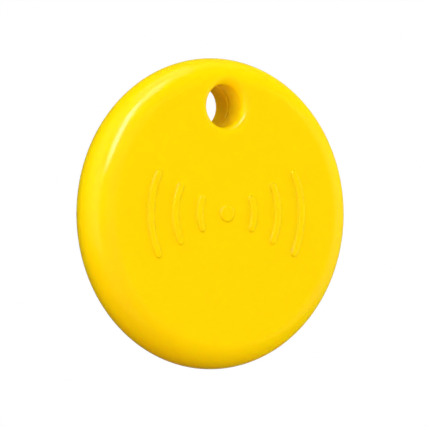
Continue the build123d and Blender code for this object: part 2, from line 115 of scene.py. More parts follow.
class Shape:
    """Points and faces in millimetres, gathered part by part and joined where they meet."""

    def __init__(self):
        self.points = []
        self.faces = []

    def ring(self, points):
        """Adds points, and gives their indices."""
        first = len(self.points)
        self.points.extend(points)
        return range(first, len(self.points))

    def strip(self, rings):
        """Faces between each ring of points and the next."""
        for a, b in zip(rings, rings[1:]):
            for i in range(len(a)):
                j = (i + 1) % len(a)
                self.faces.append((a[i], a[j], b[j], b[i]))

    def turned(self, section, centre_z=0, count=ROUND_COUNT):
        """Closed bands from a section of (radius, depth) points, turned about a depth-wise axis."""
        self.strip([self.ring(circle(r, y, centre_z, count)) for r, y in section])

    def mesh(self, name, mirrored=False):
        """The closed mesh of the shape, in metres; mirrored swaps its front and rear."""
        bm = bmesh.new()
        side = -MM if mirrored else MM
        verts = [bm.verts.new((x * MM, y * side, z * MM)) for x, y, z in self.points]
        for face in self.faces:
            corners = [verts[i] for i in dict.fromkeys(face)]
            if bm.faces.get(corners) is None:
                bm.faces.new(corners)
        bmesh.ops.remove_doubles(bm, verts=bm.verts, dist=1e-4 * MM)
        bmesh.ops.dissolve_degenerate(bm, edges=bm.edges, dist=1e-5 * MM)
        bmesh.ops.recalc_face_normals(bm, faces=bm.faces)
        mesh = bpy.data.meshes.new(name)
        bm.to_mesh(mesh)
        bm.free()
        return mesh


def linked(name, data):
    """A new object that holds some data, linked to the scene."""
    made = bpy.data.objects.new(name, data)
    bpy.context.scene.collection.objects.link(made)
    return made


def around(r, count=ROUND_COUNT):
    """Places evenly round a circle about the middle, as pairs."""
    angles = [TURN * i / count for i in range(count)]
    return [(r * math.cos(a), r * math.sin(a)) for a in angles]


def circle(r, y, centre_z=0, count=ROUND_COUNT):
    """Points evenly round a circle about a depth-wise axis."""
    return [Vector((x, y, centre_z + z)) for x, z in around(r, count)]


def quarter(centre, radius, start, end, steps=5):
    """Points on an arc of a section, from one angle in degrees to another."""
    angles = [math.radians(start + (end - start) * i / steps) for i in range(steps + 1)]
    return [(centre[0] + radius * math.cos(a), centre[1] + radius * math.sin(a)) for a in angles]


def ridge(inner, outer, root, top, chamfer):
    """A section that stands from root to top between two radii, with its top corners broken."""
    return [
        (inner, root),
        (outer, root),
        (outer, top - chamfer),
        (outer - chamfer, top),
        (inner + chamfer, top),
        (inner, top - chamfer),
    ]


def bar(rings):
    """A closed block through rings of points, with a face over each end."""
    shape = Shape()
    rings = [shape.ring(ring) for ring in rings]
    shape.strip(rings)
    shape.faces += [tuple(rings[0]), tuple(rings[-1])]
    return shape


def sector(section, centre, span, centre_z=0, steps=10):
    """A closed block: a section turned over span degrees about a clock angle."""
    angles = [math.radians(centre + span * (i / steps - 0.5)) for i in range(steps + 1)]
    return bar([
        [Vector((r * math.cos(a), y, centre_z + r * math.sin(a))) for r, y in section]
        for a in angles
    ])


def hoop(section, centre_z=0, count=ROUND_COUNT):
    """A closed ring of a section about a depth-wise axis."""
    shape = Shape()
    shape.turned([*section, section[0]], centre_z, count)
    return shape


def pin(x, z, section):
    """A closed pin: a section turned about the depth-wise axis at x and z."""
    return bar([
        [Vector((x + p.x, y, z + p.z)) for p in circle(r, 0, count=32)]
        for r, y in section
    ])


def rounded_bar(x_half, z_centre, z_half, corner, y_from, y_to):
    """A closed bar along the depth with a rounded-rectangle section."""
    section = []
    for sx, sz, start in ((1, 1, 0), (-1, 1, 90), (-1, -1, 180), (1, -1, 270)):
        middle = (sx * (x_half - corner), z_centre + sz * (z_half - corner))
        section += quarter(middle, corner, start, start + 90, 6)
    return bar([[Vector((x, y, z)) for x, z in section] for y in (y_from, y_to)])


class Dome:
    """A round surface, flat in the middle and rounded at its edge, facing -Y.

    Its points are named by a place on a flat sheet that is wrapped over it: the way along the
    section from the middle, and the clock angle.
    """

    def __init__(self, level):
        self.level = level  # how far the flat lies before the disc's middle, and the edge's radius

    def way(self, r):
        """How far along the section the surface reaches a radius."""
        return r if r <= flat_r else flat_r + self.level * math.asin((r - flat_r) / self.level)

    def depth(self, r):
        """Where the surface lies at a radius."""
        return -math.sqrt(self.level**2 - max(0, r - flat_r) ** 2)

    def wrap(self, place):
        """The point over a place on the sheet."""
        way, clock = math.hypot(*place), math.atan2(place[1], place[0])
        tilt = max(0, way - flat_r) / self.level
        r = min(way, flat_r) + self.level * math.sin(tilt)
        return Vector((r * math.cos(clock), -self.level * math.cos(tilt), r * math.sin(clock)))

    def unwrap(self, point):
        """The place on the sheet under a point."""
        r, clock = math.hypot(point.x, point.z), math.atan2(point.z, point.x)
        way = r if r <= flat_r else flat_r + self.level * math.atan2(r - flat_r, -point.y)
        return way * math.cos(clock), way * math.sin(clock)


def rows(way, steps):
    """Ways for rows of points over the rounded edge, led in by one on the flat."""
    return [flat_r - 0.3, *(flat_r + (way - flat_r) * i / steps for i in range(steps + 1))]


def inside(place, loop):
    """Whether a place lies inside a closed loop of places, given as an array."""
    x, y = place
    ahead = np.roll(loop, -1, axis=0)
    crosses = (loop[:, 1] > y) != (ahead[:, 1] > y)
    rise = np.where(crosses, ahead[:, 1] - loop[:, 1], 1)
    where = loop[:, 0] + (y - loop[:, 1]) / rise * (ahead[:, 0] - loop[:, 0])
    return bool(np.count_nonzero(crosses & (x < where)) % 2)


def pave(shape, lay, ways, loops):
    """Covers a surface with triangles out to the last of the ways, but not inside the loops.

    Lay puts a place of the flat sheet on the surface.
    """
    loops = [np.array(loop) for loop in loops]
    fixed = np.concatenate(loops)
    places, edges = [], []
    for loop in [around(ways[-1]), *loops]:
        first = len(places)
        places.extend(tuple(p) for p in loop)
        edges.extend((first + i, first + (i + 1) % len(loop)) for i in range(len(loop)))
    for way in ways[:-1]:
        for place in around(way):
            near = np.min(np.hypot(*(fixed - place).T))
            if near > LEAST_GAP and not any(inside(place, loop) for loop in loops):
                places.append(place)
    made, _, triangles, *_ = delaunay_2d_cdt([Vector(p) for p in places], edges, [], 0, 1e-9)
    first = len(shape.points)
    shape.points.extend(lay(p) for p in made)
    for triangle in triangles:
        centre = sum((made[i] for i in triangle), Vector((0, 0))) / 3
        if not any(inside(centre, loop) for loop in loops):
            shape.faces.append(tuple(first + i for i in triangle))


# ---------------------------------------------------------------- the mark

mark_radii = (4.0, 7.5, 11.0)
mark_half_angle = 26
mark_dot_r = 1.0
mark_half_stroke = 0.45
mark_height = -half_t - front_low.y
mark_round = 0.18
mark_root = 0.1
mark_margin = 0.06  # a strip of flat face kept round each stroke


def dot_outline(out):
    """The outline of the mark's dot, moved outwards."""
    return around(max(0, mark_dot_r + out), 64)


def wave_outline(radius, facing, out):
    """The outline of one wave, moved outwards; facing is the clock angle of its middle."""
    half = max(0, mark_half_stroke + out)
    reach = math.radians(mark_half_angle)
    end_x, end_y = radius * math.cos(reach), radius * math.sin(reach)
    arcs, ends = 40, 14
    outline = []
    for side in (1, -1):
        r = radius + side * half
        angles = [side * (2 * reach * i / arcs - reach) for i in range(arcs + 1)]
        outline += [(r * math.cos(a), r * math.sin(a)) for a in angles]
        first = reach if side == 1 else math.pi - reach
        angles = [first + math.pi * i / ends for i in range(1, ends)]
        outline += [(end_x + half * math.cos(a), side * end_y + half * math.sin(a)) for a in angles]
    c, s = math.cos(math.radians(facing)), math.sin(math.radians(facing))
    return [(x * c - y * s, x * s + y * c) for x, y in outline]


def mark_outlines():
    """A function for each stroke of the mark, which gives its outline moved outwards."""
    waves = [partial(wave_outline, radius, facing) for radius in mark_radii for facing in (0, 180)]
    return [dot_outline, *waves]


def raise_mark(shape, stroke):
    """A stroke's side and top: a small round at its foot, a larger one at its shoulder."""
    foot = [(mark_root * (1 - math.sin(a)), mark_root * (1 - math.cos(a)))
            for a in np.linspace(0, TURN / 4, 4)]
    top = [(-mark_round * (1 - math.cos(a)), mark_height - mark_round * (1 - math.sin(a)))
           for a in np.linspace(0, TURN / 4, 5)]
    rings = []
    for out, height in [(mark_root + mark_margin, 0), *foot, *top, (-mark_dot_r, mark_height)]:
        rings.append(shape.ring([Vector((x, -half_t - height, z)) for x, z in stroke(out)]))
    shape.strip(rings)


# ---------------------------------------------------------------- shells

outside = Dome(edge_r)


def mouth_rings(rounding):
    """The rounded mouth of the key hole, as rings from the bore's wall out to the face.

    A ball of the rounding's radius rolls between the bore and the outside, and leaves its track.
    """
    steps = 12
    rings = [[] for _ in range(steps + 1)]
    for x, z in around(1, HOLE_COUNT):
        out = Vector((x, 0, z))
        ball = out * (hole_r + rounding) + Vector((0, 0, hole_z))
        r = math.hypot(ball.x, ball.z)
        beyond = max(0, r - flat_r)
        ball.y = -math.sqrt((edge_r - rounding) ** 2 - beyond**2)
        normal = Vector((beyond * ball.x / r, ball.y, beyond * ball.z / r)).normalized()
        for k, ring in enumerate(rings):
            ring.append(ball + rounding * (-out).slerp(normal, k / steps))
    return rings


def rim_end(seam, corner):
    """Where the rounded rim ends in a small round at a seam: the way there, and that round."""
    drop = seam - corner
    centre = (flat_r + math.sqrt((edge_r - corner) ** 2 - drop**2), drop)
    tilt = math.degrees(math.asin(drop / (edge_r - corner)))
    return flat_r + edge_r * math.radians(90 + tilt), quarter(centre, corner, tilt, 90)


def shell_skin(shape, seam, corner, rounding, strokes):
    """The outside of a shell with the key hole's mouth and the mark's strokes.

    Gives the ring of points at the bore's wall, and the section of the rim's corner at the seam.
    """
    way, section = rim_end(seam, corner)
    rings = mouth_rings(rounding)
    loops = [[outside.unwrap(p) for p in rings[-1]]]
    loops += [stroke(mark_root + mark_margin) for stroke in strokes]
    pave(shape, outside.wrap, rows(way, round((way - flat_r) / ROW_SPACING)), loops)
    mouth = [shape.ring(ring) for ring in rings]
    shape.strip(mouth)
    for stroke in strokes:
        raise_mark(shape, stroke)
    return mouth[0], section


def around_hole(shape, start, section):
    """The walls about the key hole's axis that go on from a ring of points."""
    shape.strip([start] + [shape.ring(circle(r, y, hole_z, HOLE_COUNT)) for r, y in section])


def joined(name, shape, extras, cuts=(), mirrored=False):
    """A shell: the shape with closed extras joined to it and cuts taken out of it."""
    piece = linked(name, shape.mesh(name, mirrored))
    for operation, others in (("UNION", extras), ("DIFFERENCE", cuts)):
        if not others:
            continue
        whole = Shape()
        for other in others:
            first = len(whole.points)
            whole.points.extend(other.points)
            whole.faces.extend(tuple(first + i for i in face) for face in other.faces)
        tool = linked(name + "_tool", whole.mesh(name + "_tool", mirrored))
        modifier = piece.modifiers.new(operation, "BOOLEAN")
        modifier.operation = operation
        modifier.solver = "EXACT"
        modifier.object = tool
        bpy.context.view_layer.update()
        changed = piece.evaluated_get(bpy.context.evaluated_depsgraph_get())
        made = bpy.data.meshes.new_from_object(changed)
        piece.modifiers.clear()
        piece.data = made
        bpy.data.objects.remove(tool)
    bm = bmesh.new()
    bm.from_mesh(piece.data)
    bmesh.ops.remove_doubles(bm, verts=bm.verts, dist=1e-3 * MM)
    bmesh.ops.dissolve_degenerate(bm, edges=bm.edges, dist=1e-5 * MM)
    bm.to_mesh(piece.data)
    bm.free()
    return piece


def front_shell():
    """The front shell, with its tunnel, nub, stiffening rib, ledges, hooks and pins."""
    shape = Shape()
    bore, corner = shell_skin(
        shape, seam=seam_y, corner=0.12, rounding=mouth_round, strokes=mark_outlines()
    )
    inner = Dome(inner_y)
    chamfer = 0.1
    groove_r, groove_front, groove_rear = skirt_r + 0.12, -0.45, 0.65  # clears the rim seal
    shape.turned([
        *corner,
        (skirt_r + chamfer, seam_y),
        (skirt_r, seam_y - chamfer),
        (skirt_r, groove_rear),
        (groove_r, groove_rear),
        (groove_r, groove_front),
        (skirt_r, groove_front),
        (skirt_r, inner.depth(skirt_r)),
    ])

    edge_round = 0.12
    seal_r, seal_front, seal_rear = tube_r - 0.35, -1.25, -0.75  # the groove of the tunnel's seal
    around_hole(shape, bore, [
        *quarter((hole_r + edge_round, tunnel_seam_y - edge_round), edge_round, 180, 90),
        *quarter((tube_r - edge_round, tunnel_seam_y - edge_round), edge_round, 90, 0),
        (tube_r, seal_rear),
        (seal_r, seal_rear),
        (seal_r, seal_front),
        (tube_r, seal_front),
    ])
    foot = circle(tube_r, seal_front, hole_z, HOLE_COUNT)
    meeting = [Vector((p.x, inner.depth(math.hypot(p.x, p.z)), p.z)) for p in foot]
    shape.strip([shape.ring(foot), shape.ring(meeting)])
    pave(shape, inner.wrap, rows(inner.way(skirt_r), 10), [[inner.unwrap(p) for p in meeting]])

    root = -inner_y - sink
    nub_inner_r, nub_r, nub_y = 0.4, 1.5, -2.25
    nub = [(nub_inner_r, root), (nub_r, root), (nub_r, nub_y - 0.1), (nub_r - 0.15, nub_y),
           (nub_inner_r, nub_y)]
    rib = ridge(inner=7.8, outer=8.4, root=root, top=-2.2, chamfer=0.05)
    extras = [hoop(nub, count=48), hoop(rib, count=96)]

    ledge_r, ledge_outer_r = 15.2, 16.8  # the ledges carry the board's edge
    ledge_y = board_low.y - press_travel - play
    ledge = [(ledge_r, root), (ledge_outer_r, root), (ledge_outer_r, ledge_y),
             (ledge_r + chamfer, ledge_y), (ledge_r, ledge_y - chamfer)]
    extras += [sector(ledge, angle, span=16) for angle in (30, 150, 210, 270, 330)]

    hook_r, hook_root = 16.6, skirt_r + 0.3  # the hooks hold the board from behind
    hook_y = board_high.y + 0.03
    hook_back_y = lip_end_y - press_travel - 0.1
    hook = [(hook_root, hook_y), (hook_r + 0.05, hook_y), (hook_r, hook_y + 0.05),
            (hook_r, hook_y + 0.2), (skirt_r, hook_back_y), (hook_root, hook_back_y)]
    extras += [sector(hook, angle, span=12) for angle in (0, 180, 240, 300)]

    axis_r, pin_r, pin_y = 0.001, 0.6, -0.9  # the pins go through the board
    section = [(axis_r, root), (pin_r, root), (pin_r, pin_y - 0.15), (pin_r - 0.15, pin_y),
               (axis_r, pin_y)]
    pin_way = 15.2
    for angle in (45, 135):
        a = math.radians(angle)
        extras.append(pin(pin_way * math.cos(a), pin_way * math.sin(a), section))
    return joined("front_casing", shape, extras)


def rear_shell():
    """The battery cover, with its lip, collar, feet, snap beads, cell ribs and pry notch.

    It is made as if it faced -Y, like the front, and then mirrored, so depths here are reversed.
    """
    shape = Shape()
    bore, corner = shell_skin(
        shape, seam=-cover_y, corner=0.1, rounding=rear_mouth_round, strokes=[]
    )
    lip_y = -lip_end_y
    lip_edge = 0.08
    seal_r, seal_front, seal_rear = lip_r - 0.4, -0.85, -1.55  # the groove of the rim's seal
    shape.turned([
        *corner,
        (lip_r, -cover_y),
        (lip_r, seal_rear),
        (seal_r, seal_rear),
        (seal_r, seal_front),
        (lip_r, seal_front),
        *quarter((lip_r - lip_edge, lip_y - lip_edge), lip_edge, 0, 90, 3),
        *quarter((lip_inner_r + lip_edge, lip_y - lip_edge), lip_edge, 90, 180, 3),
        (lip_inner_r, -inner_y),
    ])
    edge_round = 0.12
    sleeve_y = -(tunnel_seam_y + tunnel_gap)
    around_hole(shape, bore, [
        *quarter((hole_r + edge_round, sleeve_y - edge_round), edge_round, 180, 90),
        (sleeve_r, sleeve_y),
        (sleeve_r, -inner_y),
    ])
    loop = [(p.x, p.z) for p in circle(sleeve_r, 0, hole_z, HOLE_COUNT)]
    pave(shape, lambda place: Vector((place[0], -inner_y, place[1])), [lip_inner_r], [loop])

    root = -inner_y - sink
    collar_root_r = sleeve_r - 0.3  # well inside the sleeve's wall
    step_y = sleeve_y - 0.02  # just short of the sleeve's end
    collar_y = 1.3
    extras = [hoop([
        (collar_root_r, root),
        (collar_root_r, step_y),
        (collar_inner_r, step_y),
        (collar_inner_r, collar_y - 0.1),
        (collar_inner_r + 0.1, collar_y),
        *quarter((collar_r - edge_round, collar_y - edge_round), edge_round, 90, 0, 4),
        (collar_r, root),
    ], hole_z, COLLAR_COUNT)]

    foot_r, foot_outer_r, foot_y = lip_inner_r + 0.1, lip_r - 0.1, -board_high.y - 0.03
    foot = ridge(foot_r, foot_outer_r, root=lip_y - 0.3, top=foot_y, chamfer=0.06)
    extras += [sector(foot, angle, span=14) for angle in (30, 150, 210, 330)]
    bead_root, bead_r = lip_r - 0.2, lip_r + 0.12
    bead = [(bead_root, 0.2), (bead_r, -0.05), (bead_r, -0.15), (bead_root, -0.4)]
    extras += [sector(bead, angle, span=18, steps=16) for angle in (20, 70, 110, 160, 225, 315)]
    cell_rib = ridge(inner=10.3, outer=10.95, root=root, top=-1.0, chamfer=0.08)
    extras += [sector(cell_rib, angle, 40, centre_z=cell_z, steps=30) for angle in (20, 160)]

    clear_r, clear_y = collar_inner_r - 0.01, step_y + 0.03  # frees the tunnel's way in the collar
    clearing = [(clear_r - 0.25, clear_y), (clear_r, clear_y), (clear_r, 2), (clear_r - 0.25, 2)]
    notch_half, notch_depth, notch_round = 3.5, 0.65, 0.5
    notch_front, notch_rear = -cover_y + 0.5, -cover_y - 0.45
    cuts = [
        hoop(clearing, hole_z, COLLAR_COUNT),
        rounded_bar(notch_half, rear_low.z, notch_depth, notch_round, notch_rear, notch_front),
    ]
    return joined("rear_casing", shape, extras, cuts, mirrored=True)


def add_shell(casing, body, node):
    """Finishes a shell, sharp at its corners only, and puts it in place of its CAD node."""
    casing.data.shade_smooth()
    casing.data.set_sharp_from_angle(angle=math.radians(35))
    weigh_normals(casing)
    casing.data.materials.clear()
    casing.data.materials.append(looks["shell_plastic"])
    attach(casing, body)
    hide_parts(node)


def weigh_normals(piece):
    """Keeps flats flat between softened edges."""
    modifier = piece.modifiers.new("normals", "WEIGHTED_NORMAL")
    modifier.mode = "FACE_AREA"
    modifier.keep_sharp = True


# ---------------------------------------------------------------- materials


def add_node(tree, kind, inputs=(), **settings):
    """Adds a shader node to a tree, and links or sets its inputs by name or place."""
    made = tree.nodes.new("ShaderNode" + kind)
    for key, value in settings.items():
        setattr(made, key, value)
    for key, value in dict(inputs).items():
        if isinstance(value, bpy.types.NodeSocket):
            tree.links.new(value, made.inputs[key])
        else:
            made.inputs[key].default_value = value
    return made.outputs


class Look:
    """A material of one Principled shader, with patterns placed in millimetres on the piece."""

    def __init__(self, name, colour, roughness, metallic=0.0):
        self.material = bpy.data.materials.new(name + "_look")
        self.material.use_nodes = True
        self.tree = self.material.node_tree
        self.node = partial(add_node, self.tree)
        self.shader = self.tree.nodes["Principled BSDF"].inputs
        self.shader["Base Color"].default_value = (*colour, 1)
        self.shader["Roughness"].default_value = roughness
        self.shader["Metallic"].default_value = metallic
        metres = self.node("TexCoord")["Object"]
        self.place = self.node("VectorMath", {0: metres, 1: (1 / MM,) * 3}, operation="MULTIPLY")[0]
        self.normal = None

    def math(self, operation, *values):
        """A sum on values, which are numbers or outputs of nodes."""
        return self.node("Math", dict(enumerate(values)), operation=operation)[0]

    def axes(self):
        """The X, Y and Z of the place, in millimetres."""
        return self.node("SeparateXYZ", {0: self.place})

    def stretched(self, x=1.0, y=1.0, z=1.0):
        """The place with its axes scaled, for patterns that run one way."""
        return self.node("VectorMath", {0: self.place, 1: (x, y, z)}, operation="MULTIPLY")[0]

    def grain(self, size, detail=2.0, place=None):
        """Soft noise from 0 to 1 with lumps of a size in millimetres."""
        inputs = {"Vector": place or self.place, "Scale": 1 / size, "Detail": detail}
        return self.node("TexNoise", inputs)["Fac"]

    def cells(self, size, spread=1.0):
        """The distance in a field of cells of a size in millimetres."""
        inputs = {"Vector": self.place, "Scale": 1 / size, "Randomness": spread}
        return self.node("TexVoronoi", inputs)["Distance"]

    def graded(self, value, start, end, low=0.0, high=1.0):
        """A value brought from between start and end to between low and high, smoothly."""
        inputs = {"Value": value, "From Min": start, "From Max": end, "To Min": low, "To Max": high}
        return self.node("MapRange", inputs, interpolation_type="SMOOTHSTEP")[0]

    def blend(self, factor, first, second):
        """A colour between two, which are colours or other blends."""
        colours = [c if isinstance(c, bpy.types.NodeSocket) else (*c, 1) for c in (first, second)]
        return self.node("Mix", {0: factor, 6: colours[0], 7: colours[1]}, data_type="RGBA")[2]

    def paint(self, colour):
        """Gives the shader its colour."""
        self.tree.links.new(colour, self.shader["Base Color"])

    def rough(self, value):
        """Gives the shader its roughness."""
        self.tree.links.new(value, self.shader["Roughness"])

    def raised(self, height, depth):
        """Relief from a height of 0 to 1, which stands a depth in millimetres proud."""
        inputs = {"Height": height, "Distance": depth * MM, "Strength": 1.0}
        if self.normal:
            inputs["Normal"] = self.normal
        self.normal = self.node("Bump", inputs)[0]
        self.tree.links.new(self.normal, self.shader["Normal"])

    def round_about(self, centre_z=0.0):
        """The distance from a depth-wise axis, in millimetres."""
        x, _, z = self.axes()
        beside = self.math("POWER", self.math("SUBTRACT", z, centre_z), 2.0)
        squared = self.math("ADD", self.math("MULTIPLY", x, x), beside)
        return self.math("POWER", squared, 0.5)


def shell_plastic():
    """Moulded plastic, satin and even, with the faint waves and grain of its mould."""
    look = Look("shell_plastic", (0.93, 0.6, 0.0003), 0.17)
    look.paint(look.blend(look.grain(7, 3), (0.935, 0.593, 0.0002), (0.925, 0.607, 0.0004)))
    look.rough(look.graded(look.grain(1.5, 4), 0.2, 0.8, 0.15, 0.19))
    look.raised(look.grain(4, 1), 0.004)
    look.raised(look.grain(0.16, 2), 0.0006)
    look.shader["IOR"].default_value = 1.48
    look.shader["Subsurface Weight"].default_value = 0.3
    look.shader["Subsurface Radius"].default_value = (0.8, 0.3, 0.05)
    look.shader["Subsurface Scale"].default_value = MM
    return look


def seal_rubber():
    """Black rubber with a fine dull bloom."""
    look = Look("seal_rubber", (0.02, 0.02, 0.022), 0.55)
    look.paint(look.blend(look.grain(0.9, 4), (0.016, 0.016, 0.018), (0.034, 0.034, 0.037)))
    look.rough(look.graded(look.grain(0.3), 0.3, 0.7, 0.42, 0.68))
    look.raised(look.grain(0.07), 0.003)
    return look


def board_laminate():
    """Green solder mask over copper ground, tracks and vias, with woven glass at the edges."""
    look = Look("board_laminate", (0.012, 0.055, 0.032), 0.32)
    tracks = look.node("TexBrick", {
        "Vector": look.node("Mapping", {0: look.place, 2: (math.radians(90), 0, 0)})[0],
        "Scale": 1.0,
        "Brick Width": 2.6,
        "Row Height": 0.62,
        "Mortar Size": 0.07,
        "Mortar Smooth": 0.3,
    })["Fac"]
    copper = look.graded(look.grain(3.4, 0), 0.47, 0.5)
    lines = look.math("MULTIPLY", tracks, look.math("SUBTRACT", 1.0, copper))
    raised = look.math("MAXIMUM", copper, lines)
    mask = look.blend(raised, (0.007, 0.036, 0.02), (0.02, 0.088, 0.045))
    via = look.cells(1.9, spread=0.55)
    ring = look.math("MULTIPLY", look.graded(via, 0.085, 0.1, 1, 0), look.graded(via, 0.04, 0.055))
    # painted shade: the middle of each via is painted near-black, where its drilled hole would lie in shadow
    hole = look.graded(via, 0.035, 0.05, 1, 0)
    mask = look.blend(ring, mask, (0.032, 0.13, 0.06))
    mask = look.blend(hole, mask, (0.004, 0.008, 0.006))
    upright = look.node("SeparateXYZ", {0: look.node("NewGeometry")["Normal"]})["Y"]
    side = look.graded(look.math("ABSOLUTE", upright), 0.4, 0.6, 1, 0)
    plies = look.grain(0.06, 1, look.stretched(0.15, 1, 0.15))
    glass = look.blend(plies, (0.24, 0.19, 0.09), (0.42, 0.36, 0.2))
    look.paint(look.blend(side, mask, glass))
    look.rough(look.graded(side, 0, 1, 0.3, 0.75))
    look.raised(raised, 0.02)
    look.raised(look.grain(0.5, 3), 0.004)
    return look


def metal(name, colour, roughness, tarnish, size=1.2):
    """A metal whose colour and gloss drift a little, as handling and plating leave it."""
    look = Look(name, colour, roughness, 0.95)
    drift = look.grain(size, 4)
    look.paint(look.blend(look.graded(drift, 0.35, 0.75), colour, tarnish))
    look.rough(look.graded(look.grain(size / 3, 3), 0.25, 0.75, roughness * 0.75, roughness * 1.3))
    return look


def gold_plate():
    """Gold over nickel, with the copper's fine grain under it."""
    look = metal("gold_plate", (0.86, 0.6, 0.23), 0.28, (0.76, 0.5, 0.17), 0.8)
    look.raised(look.grain(0.06, 2), 0.0006)
    return look


def dome_steel():
    """Polished spring steel with the rings of its forming tool."""
    look = metal("dome_steel", (0.64, 0.62, 0.59), 0.2, (0.56, 0.54, 0.5))
    rings = look.math("SINE", look.math("MULTIPLY", look.round_about(), 90.0))
    look.raised(rings, 0.0015)
    return look


def clear_film():
    """Thin amber film that lets what is under it show."""
    look = Look("clear_film", (0.72, 0.5, 0.16), 0.14)
    look.paint(look.blend(look.grain(1.5, 2), (0.76, 0.54, 0.18), (0.66, 0.44, 0.12)))
    look.shader["Alpha"].default_value = 0.4
    look.shader["Coat Weight"].default_value = 0.5
    look.raised(look.grain(0.8, 2), 0.01)
    return look


def contact_steel():
    """Rolled spring strip, with its fine lines along the strip's depth."""
    look = metal("contact_steel", (0.6, 0.59, 0.56), 0.3, (0.5, 0.48, 0.44), 0.9)
    look.raised(look.grain(0.05, 2, look.stretched(1, 0.05, 1)), 0.0006)
    return look


def cell_steel():
    """Nickel-plated cell steel, spun fine, with a plus stamped into its flat side."""
    look = metal("cell_steel", (0.68, 0.67, 0.65), 0.26, (0.64, 0.63, 0.61), 7)
    spun = look.node("CombineXYZ", {0: look.round_about(cell_z), 1: 0.0, 2: 0.0})[0]
    look.raised(look.grain(0.05, 3, spun), 0.0006)
    x, y, z = look.axes()
    x, z = look.math("ABSOLUTE", x), look.math("ABSOLUTE", look.math("SUBTRACT", z, cell_z))
    bars = [look.math("MULTIPLY", look.graded(a, 0.3, 0.42, 1, 0), look.graded(b, 2.0, 2.12, 1, 0))
            for a, b in ((x, z), (z, x))]
    flat_side = look.graded(y, cell_high.y - 0.6, cell_high.y - 0.4)
    look.raised(look.math("MULTIPLY", look.math("MAXIMUM", *bars), flat_side), -0.06)
    return look


def grommet_plastic():
    """Dull, milky sealing plastic."""
    look = Look("grommet_plastic", (0.25, 0.24, 0.21), 0.45)
    look.paint(look.blend(look.grain(1.2, 3), (0.22, 0.21, 0.18), (0.3, 0.285, 0.25)))
    look.raised(look.grain(0.2, 3), 0.004)
    return look


def lithium_foil():
    """Soft silvery foil, dulled in blotches and pressed uneven."""
    look = metal("lithium_foil", (0.6, 0.6, 0.62), 0.5, (0.34, 0.34, 0.38), 2.2)
    look.raised(look.grain(0.9, 4), 0.02)
    return look


def separator_felt():
    """White felt of fine crossed fibres."""
    look = Look("separator_felt", (0.82, 0.82, 0.8), 0.85)
    fibres = look.math("MAXIMUM", look.grain(0.1, 3, look.stretched(0.25, 1, 1)),
                       look.grain(0.1, 3, look.stretched(1, 1, 0.25)))
    look.paint(look.blend(fibres, (0.6, 0.6, 0.57), (0.88, 0.88, 0.86)))
    look.raised(fibres, 0.03)
    return look


def cathode_mix():
    """A pressed black powder, with specks of graphite."""
    look = Look("cathode_mix", (0.018, 0.017, 0.016), 0.7)
    specks = look.graded(look.grain(0.12, 4), 0.55, 0.72)
    look.paint(look.blend(specks, (0.013, 0.012, 0.012), (0.07, 0.068, 0.066)))
    look.raised(look.grain(0.15, 4), 0.02)
    return look


def sounder_brass():
    """Thin rolled brass, brushed one way, a little tarnished."""
    look = metal("sounder_brass", (0.8, 0.54, 0.21), 0.3, (0.62, 0.38, 0.13), 2.6)
    look.raised(look.grain(0.05, 2, look.stretched(0.03, 1, 1)), 0.0006)
    return look


def sounder_ceramic():
    """Fired ceramic, dense and pale, with fine dark specks."""
    look = Look("sounder_ceramic", (0.62, 0.57, 0.47), 0.6)
    specks = look.graded(look.cells(0.35), 0.05, 0.12, 1, 0)
    body = look.blend(look.grain(1.4, 3), (0.57, 0.52, 0.42), (0.67, 0.62, 0.52))
    look.paint(look.blend(specks, body, (0.36, 0.32, 0.26)))
    look.raised(look.grain(0.08, 2), 0.004)
    return look


def silver_electrode():
    """Screen-printed silver, with the mesh of its screen and cloudy patches."""
    look = metal("silver_electrode", (0.78, 0.77, 0.74), 0.42, (0.6, 0.58, 0.54), 1.6)
    x, _, z = look.axes()
    mesh = look.math("MULTIPLY", look.math("SINE", look.math("MULTIPLY", x, 30.0)),
                     look.math("SINE", look.math("MULTIPLY", z, 30.0)))
    look.raised(mesh, 0.003)
    return look


def foam_tape():
    """Black foam with open cells, each cell's pit darkened with painted shade."""
    look = Look("foam_tape", (0.03, 0.03, 0.032), 0.85)
    pores = look.cells(0.16)
    # painted shade: the middle of each cell, where the bump sinks a pit, is painted darker than its walls
    walls = look.graded(pores, 0.1, 0.5)
    look.paint(look.blend(walls, (0.008, 0.008, 0.009), (0.05, 0.05, 0.053)))
    look.raised(pores, 0.05)
    return look


def chip_epoxy():
    """Moulded epoxy with the sparkle of its glass filler."""
    look = Look("chip_epoxy", (0.014, 0.014, 0.016), 0.5)
    sparkle = look.graded(look.grain(0.06, 3), 0.5, 0.75)
    look.paint(look.blend(sparkle, (0.012, 0.012, 0.013), (0.045, 0.045, 0.047)))
    look.rough(look.graded(look.grain(0.4), 0.3, 0.7, 0.4, 0.58))
    look.raised(look.grain(0.05, 2), 0.004)
    return look


def solder_tin():
    """Reflowed solder, bright where it flowed and frosted where it set."""
    look = metal("solder_tin", (0.66, 0.66, 0.67), 0.26, (0.46, 0.46, 0.48), 0.35)
    look.raised(look.grain(0.3, 3), 0.008)
    return look


def crystal_can():
    """A drawn nickel-silver can."""
    look = metal("crystal_can", (0.74, 0.71, 0.63), 0.24, (0.62, 0.59, 0.5), 0.7)
    look.raised(look.grain(0.04, 2, look.stretched(0.1, 1, 1)), 0.0005)
    return look


def ceramic(name, dark, pale, roughness, size=0.1):
    """A fired chip body, with the fine grain of its powder."""
    look = Look(name, dark, roughness)
    look.paint(look.blend(look.graded(look.grain(size, 3), 0.35, 0.7), dark, pale))
    look.raised(look.grain(size, 2), 0.003)
    return look


def capacitor_body():
    """Brown ceramic."""
    return ceramic("capacitor_body", (0.33, 0.21, 0.11), (0.42, 0.29, 0.17), 0.42)


def resistor_body():
    """Black glass over ceramic."""
    return ceramic("resistor_body", (0.016, 0.016, 0.02), (0.04, 0.04, 0.046), 0.3)


def ferrite():
    """Dark grey ferrite."""
    return ceramic("ferrite", (0.042, 0.042, 0.045), (0.1, 0.1, 0.103), 0.5, 0.16)


